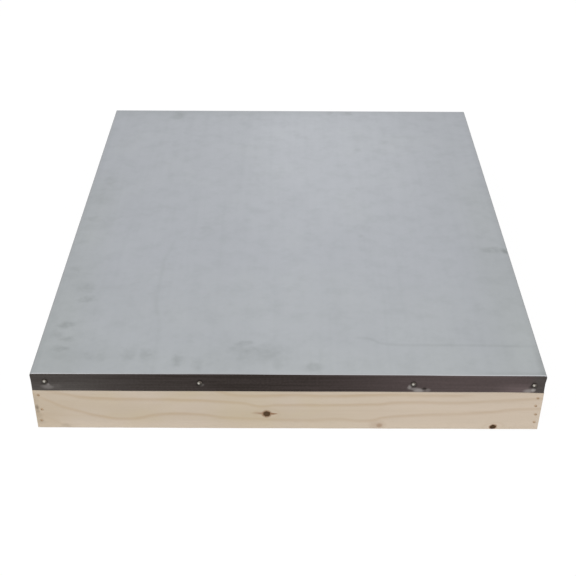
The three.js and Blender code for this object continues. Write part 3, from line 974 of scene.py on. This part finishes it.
def brad_material():
    """Dull browned wire."""
    graph = Surface("brad_steel")
    patches = graph.noise(*BRAD_PATCHES)
    base = graph.mix(patches.step(0.3, 0.7), BRAD_PALE, BRAD_BROWN)
    return graph.finish(base, patches * 0.2 + 0.45, 0.3)


# Shapes

# How near two corners are joined and a plane finds a corner, and how near an edge counts as on it
WELD = 0.002
CUT_SLACK = 0.001
EDGE_SLACK = 0.01

# The angles below which faces are merged and above which edges are sharp, in degrees
FLAT_ANGLE = 0.5
SHARP_ANGLE = 35
PIN_SHARP_ANGLE = 50


def open_copy(node):
    """A CAD node's shape in millimetres, joined at its corners, with its flat faces whole."""
    shape = bmesh.new()
    shape.from_mesh(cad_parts[node].data)
    bmesh.ops.scale(shape, vec=(PER_MM,) * 3, verts=shape.verts)
    bmesh.ops.remove_doubles(shape, verts=shape.verts, dist=WELD)
    angle = math.radians(FLAT_ANGLE)
    bmesh.ops.dissolve_limit(shape, angle_limit=angle, verts=shape.verts, edges=shape.edges)
    return shape


def close(shape, name, material, sharp=SHARP_ANGLE):
    """A new object from a worked shape, smooth but for its sharp edges."""
    bmesh.ops.scale(shape, vec=(MM,) * 3, verts=shape.verts)
    mesh = bpy.data.meshes.new(name)
    shape.to_mesh(mesh)
    shape.free()
    mesh.shade_smooth()
    mesh.set_sharp_from_angle(angle=math.radians(sharp))
    mesh.materials.append(material)
    return new_object(name, mesh)


def everything(shape):
    return [*shape.verts, *shape.edges, *shape.faces]


def near(shape, low, high):
    """The faces whose middles lie in a box, with their edges and corners."""
    def inside(place):
        return all(a <= p <= b for a, p, b in zip(low, place, high))
    faces = [face for face in shape.faces if inside(face.calc_center_median())]
    edges = {edge for face in faces for edge in face.edges}
    corners = {corner for face in faces for corner in face.verts}
    return [*corners, *edges, *faces]


def slice_up(shape, parts, *cuts):
    """Cuts parts of a shape by planes: the axis that they are square to, and their places along it."""
    for axis, places in cuts:
        normal = Vector()
        normal[axis] = 1
        for place in places:
            point = normal * place
            done = bmesh.ops.bisect_plane(shape, geom=parts, dist=CUT_SLACK, plane_co=point, plane_no=normal)
            parts = done["geom"]


def steps(low, high, size):
    """Places between low and high, evenly spaced and about size apart, without the ends."""
    count = max(1, round((high - low) / size))
    return [low + (high - low) * step / count for step in range(1, count)]


def move_all(shape, shift):
    """Moves each corner by what shift says of its place."""
    for corner in shape.verts:
        corner.co += shift(corner.co.copy())


def dimple(side, along, height):
    """How deep the sheet is pressed at a place on a skirt: 1 at a nail and 0 away from them."""
    deepest = 0
    for nail_along, nail_height in NAIL_PLACES[side]:
        away = math.hypot(along - nail_along, height - nail_height)
        deepest = max(deepest, 1 - smooth((away - NAIL_SEAT) / (DIMPLE_REACH - NAIL_SEAT)))
    return deepest


def skirt_out(side, along, height, end):
    """How far a skirt stands out from its drawn face."""
    drop = smooth((BEND_END - height) / BULGE_RISE)
    fade = smooth((end - abs(along)) / BULGE_FADE)
    slack = BULGE * (0.5 + 0.5 * wander(BULGE_SIZE, along, height, 8 * WAVE_SEEDS[side]))
    pressed = dimple(side, along, height)
    return slack * drop * fade * (1 - pressed) - DIMPLE_DEPTH * pressed


def corner_pull(x, y, height):
    """How far the skirts are drawn in at the lid's corners, where their tabs are nailed down."""
    drop = smooth((BEND_END - height) / BULGE_RISE)
    across = smooth((abs(x) - COVER_X + CORNER_REACH) / CORNER_REACH)
    along = smooth((abs(y) - RIM_Y + 2 * BULGE_FADE) / BULGE_FADE)
    pull = -CORNER_PULL_RIGHT if x > 0 else CORNER_PULL_LEFT
    return pull * drop * across * along


def hem(side, along, height):
    """How far the skirt's lower edge strays up or down, fading to nothing at the fold."""
    share = (BEND_END - height) / (BEND_END - SKIRT_BOTTOM)
    if side == "front":
        return between(HEM_POINTS, along) * share
    return HEM_WAVE * wander(HEM_SIZE, along, 2.2 * WAVE_SEEDS[side]) * share


def top_sag(x, y):
    """How far the top lies below flat: slack waves that die out towards the folds."""
    inset = min(COVER_X - abs(x), COVER_Y - abs(y)) - BEND_RADIUS
    weight = smooth(inset / SAG_EDGE)
    waves = 0.5 + sum(height * wander(size, x, y, seed) for size, height, seed in SAG_WAVES)
    beside = (y - CREASE_Y - CREASE_TURN * (x - CREASE_X)) / PRESSED_RADIUS
    crease = CREASE_DEPTH * math.exp(-beside ** 2) * smooth((x - CREASE_START) / CREASE_FADE)
    away = math.hypot(x - DENT_X, y - DENT_Y) / PRESSED_RADIUS
    dent = DENT_DEPTH * math.exp(-away ** 2) * smooth(inset / DENT_FADE)
    return -SAG * min(1, max(0, (waves + crease) * weight + dent))


def sheet_shift(place):
    """Where a corner of the drawn sheet really lies."""
    x, y, z = place
    if z > COVER_TOP - TOP_REACH:
        return Vector((0, 0, top_sag(x, y)))
    if z > BEND_END:
        return Vector()
    if abs(y) > TAB_START:
        side, way = ("front", -1) if y < 0 else ("back", 1)
        return Vector((corner_pull(x, y, z), way * skirt_out(side, x, z, COVER_X), hem(side, x, z)))
    side, way = ("left", -1) if x < 0 else ("right", 1)
    return Vector((way * skirt_out(side, y, z, RIM_Y) + corner_pull(x, y, z), 0, hem(side, y, z)))


def make_cover(material):
    """The folded sheet: slack in its top, bellied skirts and a dimple at each nail."""
    shape = open_copy("sheet_cover")
    fold = BEND_RADIUS + BEND_MARGIN
    slice_up(
        shape,
        everything(shape),
        (0, steps(-COVER_X, COVER_X, SHEET_STEP)),
        (1, steps(-COVER_Y, COVER_Y, SHEET_STEP)),
        (0, (fold - COVER_X, COVER_X - fold)),
        (1, (fold - COVER_Y, COVER_Y - fold)),
        (2, (COVER_TOP - fold, *steps(SKIRT_BOTTOM, BEND_END, SKIRT_STEP))),
    )
    for side in SIDES:
        for along, height in NAIL_PLACES[side]:
            refine_nail(shape, side, along, height)
    move_all(shape, sheet_shift)
    return close(shape, "zinc_cover", material)


def refine_nail(shape, side, along, height):
    """A fine grid of faces round one nail, for its dimple."""
    axis = ALONG[side]
    reach = DIMPLE_REACH + DIMPLE_MARGIN
    middle = on_side(side, along, SKIRTS[side], height)
    spread = Vector((DIMPLE_WALL, DIMPLE_WALL, reach + SKIRT_STEP))
    spread[axis] = reach + SHEET_STEP / 2
    parts = near(shape, middle - spread, middle + spread)
    places = steps(along - reach, along + reach, DIMPLE_STEP)
    heights = steps(max(height - reach, SKIRT_BOTTOM), height + reach, DIMPLE_STEP)
    slice_up(shape, parts, (axis, places), (2, heights))


def swell(side, height):
    """How far an outer face of the rim stands out from its drawn place."""
    high, low = SWELLS[side]
    share = max(0, height / SKIRT_BOTTOM)
    return (low + (high - low) * share) * smooth((LEDGE - height) / SWELL_RISE)


def foot_lift(place):
    """How far the rim's foot lies above its drawn place: along the front, and a little way back from it."""
    fade = 1 - smooth((place.y + RIM_Y - FOOT_FADE_START) / FOOT_FADE)
    return between(FOOT_POINTS, place.x) * fade * smooth((FOOT_REACH - place.z) / FOOT_REACH)


def board_shift(side):
    """How a board strays: low waves, rubbed arrises, its swelling below the sheet and the sheet's pull."""
    low, high = box_mm(f"rim_{side}")
    middle = (low + high) / 2
    half = (high - low) / 2
    long_axis = ALONG[side]
    cross_axis = 1 - long_axis

    def shift(place):
        moved = Vector()
        away = place - middle
        along = place[long_axis]
        inset = [half[axis] - abs(away[axis]) for axis in range(3)]
        rounded = [axis for axis in range(3) if inset[axis] < ARRIS_RADIUS + EDGE_SLACK]
        if len(rounded) > 1:
            for axis in rounded:
                moved[axis] = math.copysign((1 - ARRIS_KEPT) * inset[axis], away[axis])
        for outer, (out_x, out_y) in SIDES.items():
            face = RIM_X if out_x else RIM_Y
            if place.x * out_x + place.y * out_y > face - ARRIS_REACH - EDGE_SLACK:
                moved += swell(outer, place.z) * Vector((out_x, out_y, 0))
        moved.z += foot_lift(place)
        if place.z > LEDGE - EDGE_SLACK:
            moved.x += corner_pull(*place)
        wear = ARRIS_WEAR * smooth(0.5 + 0.8 * wander(WEAR_SIZE, along, place.z, WAVE_SEEDS[side]))
        for axis, other in ((cross_axis, 2), (2, cross_axis)):
            inward = -1 if away[axis] > 0 else 1
            if inset[axis] < ARRIS_REACH and inset[other] < ARRIS_REACH:
                moved[axis] += inward * wear * (1 - inset[other] / ARRIS_REACH)
            if inset[axis] < EDGE_SLACK and inset[other] > ARRIS_REACH:
                flat = 0.5 + 0.5 * wander(WAVE_SIZE, place.x, place.y, place.z)
                edge = smooth((inset[other] - ARRIS_REACH) / WAVE_FADE)
                moved[axis] += inward * BOARD_WAVE * flat * edge
        return moved
    return shift


def make_board(side, material):
    """One board of the rim, cut fine enough for its waves and worn arrises."""
    node = f"rim_{side}"
    shape = open_copy(node)
    low, high = box_mm(node)
    long_axis = ALONG[side]
    cross_axis = 1 - long_axis
    slice_up(
        shape,
        everything(shape),
        (long_axis, steps(low[long_axis], high[long_axis], BOARD_STEP)),
        (2, (low.z + ARRIS_REACH, LEDGE - SWELL_RISE, LEDGE, high.z - ARRIS_REACH)),
        (2, steps(low.z, high.z, BOARD_STEP)),
        (cross_axis, (low[cross_axis] + ARRIS_REACH, high[cross_axis] - ARRIS_REACH)),
    )
    move_all(shape, board_shift(side))
    return close(shape, f"pine_{side}", material)


def nail_outline():
    """The nail's half section, from its tip to its crown: radius and height above the sheet."""
    crown = [(NAIL_RADIUS * math.cos(a), CROWN_START + (NAIL_RISE - CROWN_START) * math.sin(a) ** 0.9)
             for a in (math.radians(10 * step) for step in range(1, 9))]
    return [
        (0.12, -NAIL_LENGTH), (0.55, 1.5 - NAIL_LENGTH), (SHANK_RADIUS, NAIL_TIP - NAIL_LENGTH),
        (SHANK_RADIUS, -0.5), (SHANK_RADIUS, 0.02), (2.15, 0.02), (2.34, 0.12), (NAIL_RADIUS, 0.30), *crown,
    ]


def brad_outline():
    """The brad's half section, from its tip to its flat head: radius and height above the head's middle."""
    return [
        (0.08, -BRAD_LENGTH), (BRAD_SHANK, BRAD_TIP - BRAD_LENGTH), (BRAD_SHANK, -BRAD_HEAD),
        (BRAD_RADIUS - 0.12, -BRAD_HEAD), (BRAD_RADIUS, -0.6), (BRAD_RADIUS, -0.16),
        (BRAD_RADIUS - 0.1, -0.04), (0.55, 0), (0.25, -0.05),
    ]


def turned(outline, foot, side, sides, seed, dents, bright=(0, 0)):
    """A pin turned from its half section, its dented head pointing outward, with a glint at one place for a
    painted highlight.
    """
    up = Vector((0, 0, 1))
    outward = Vector((*SIDES[side], 0))
    across = outward.cross(up)
    shape = bmesh.new()
    glint = shape.verts.layers.float.new("glint")
    lean = shape.verts.layers.float.new("lean")
    widest = max(radius for radius, rise in outline)
    dent_start, dent_depth = dents

    def ring(radius, rise):
        made = []
        for turn in range(sides):
            angle = 2 * math.pi * turn / sides
            x, y = radius * math.cos(angle), radius * math.sin(angle)
            dent = dent_depth * (wander(DENT_SIZE, x, y, seed) - 1) if rise > dent_start else 0
            corner = shape.verts.new(foot + across * x + up * y + outward * (rise + dent))
            away = math.hypot(x - bright[0], y - bright[1])
            corner[glint] = max(0, 1 - away / widest) if rise > 0 else 0
            corner[lean] = y / widest
            made.append(corner)
        return made

    rings = [ring(radius, rise) for radius, rise in outline]
    for first, second in zip(rings, rings[1:]):
        for turn in range(sides):
            after = (turn + 1) % sides
            shape.faces.new((first[turn], first[after], second[after], second[turn]))
    shape.faces.new(list(reversed(rings[0])))
    shape.faces.new(rings[-1])
    bmesh.ops.recalc_face_normals(shape, faces=shape.faces)
    return shape


def make_nail(side, number, material):
    """One cover nail, its head hammered a little uneven, sunk with its dimple."""
    along, height = NAIL_PLACES[side][number - 1]
    foot = on_side(side, along, SKIRTS[side] - DIMPLE_DEPTH, height)
    bright = NAIL_GLINTS[number - 1]
    shape = turned(nail_outline(), foot, side, NAIL_SIDES, 9 * number, NAIL_DENTS, bright)
    return close(shape, f"nail_{side}_{number}", material, PIN_SHARP_ANGLE)


def make_brad(node, side, material):
    """One corner brad, its small head just below the face of the wood."""
    middle = middle_of(node)
    foot = on_side(side, middle.x, RIM_Y + swell(side, middle.z) - BRAD_SINK, middle.z)
    shape = turned(brad_outline(), foot, side, BRAD_SIDES, middle.z, BRAD_DENTS)
    return close(shape, node.replace("corner_brad", "brad"), material, PIN_SHARP_ANGLE)


def stand_in(piece, node):
    """Fixes a piece to the lid's one body, in place of the CAD node that it stands for."""
    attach(piece, "root")
    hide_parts(node)


def dress(names, material):
    """Gives CAD nodes that keep their shape a finer material."""
    for name in names:
        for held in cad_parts[name].material_slots:
            held.material = material


# Stage and light

FLOOR_REACH = 9
FLOOR_DROP = 0.0002
FLOOR_ALBEDO = 0.8
SHADOW_SHARE = 0.07
FLOOR_GLOW = 0.955
ROOM_LIGHT = 0.78

# Soft boxes: where each stands and the width of its side, in metres, and its power in watts
LAMPS = {"key": ((-1.1, -1.7, 1.9), 1.6, 22), "fill": ((1.7, -1, 1.5), 1.4, 9)}
LAMP_AIM = (0, 0, 0.03)


def grey(share):
    return (share, share, share, 1)


def make_world():
    """A white room to look at, and a softer light from all round."""
    world = bpy.data.worlds.new("room")
    bpy.context.scene.world = world
    graph = Graph(world)
    strength = graph.seen() * (1 - ROOM_LIGHT) + ROOM_LIGHT
    background = graph.node("Background", grey(1), strength)
    graph.node("OutputWorld", background.outputs[0])


def floor_material():
    """A pale floor that reads as white to the eye and to metal, and still takes a faint shadow."""
    material = bpy.data.materials.new("floor")
    graph = Graph(material)
    full = graph.node("BsdfDiffuse", grey(FLOOR_ALBEDO))
    faint = graph.node("BsdfDiffuse", grey(SHADOW_SHARE * FLOOR_ALBEDO))
    glow = graph.node("Emission", None, FLOOR_GLOW)
    shown = graph.node("AddShader", faint.outputs[0], glow.outputs[0])
    mixed = graph.node("MixShader", graph.seen(), full.outputs[0], shown.outputs[0])
    graph.node("OutputMaterial", mixed.outputs[0])
    return material


def make_floor():
    """The pale floor that the lid lies on."""
    edges = ((-1, -1), (1, -1), (1, 1), (-1, 1))
    corners = [(x * FLOOR_REACH, y * FLOOR_REACH, -FLOOR_DROP) for x, y in edges]
    mesh = bpy.data.meshes.new("floor")
    mesh.from_pydata(corners, [], [(0, 1, 2, 3)])
    mesh.materials.append(floor_material())
    new_object("floor", mesh)


def make_lights():
    """A soft key from the upper left in front and a weaker fill from the right."""
    for name, (spot, size, power) in LAMPS.items():
        data = bpy.data.lights.new(name, "AREA")
        data.shape = "SQUARE"
        data.size = size
        data.energy = power
        lamp = new_object(name, data)
        lamp.location = spot
        lamp.rotation_euler = (Vector(LAMP_AIM) - Vector(spot)).to_track_quat("-Z", "Y").to_euler()


def make_object():
    """Every piece of the lid, finished."""
    stand_in(make_cover(zinc_material()), "sheet_cover")
    nail_finish = nail_material()
    for side in SIDES:
        stand_in(make_board(side, pine_material(side)), f"rim_{side}")
        for number in range(1, NAILS_PER_SIDE + 1):
            stand_in(make_nail(side, number, nail_finish), f"cover_nail_{side}_{number}")
    brad_finish = brad_material()
    for side in ("front", "back"):
        for node in brads_of(side):
            stand_in(make_brad(node, side, brad_finish), node)
    dress(["deck_panel"], plywood_material())
    dress([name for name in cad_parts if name.startswith("deck_brad_")], brad_finish)


make_camera()
make_world()
make_floor()
make_lights()
make_object()
bpy.context.scene.view_settings.view_transform = "Standard"
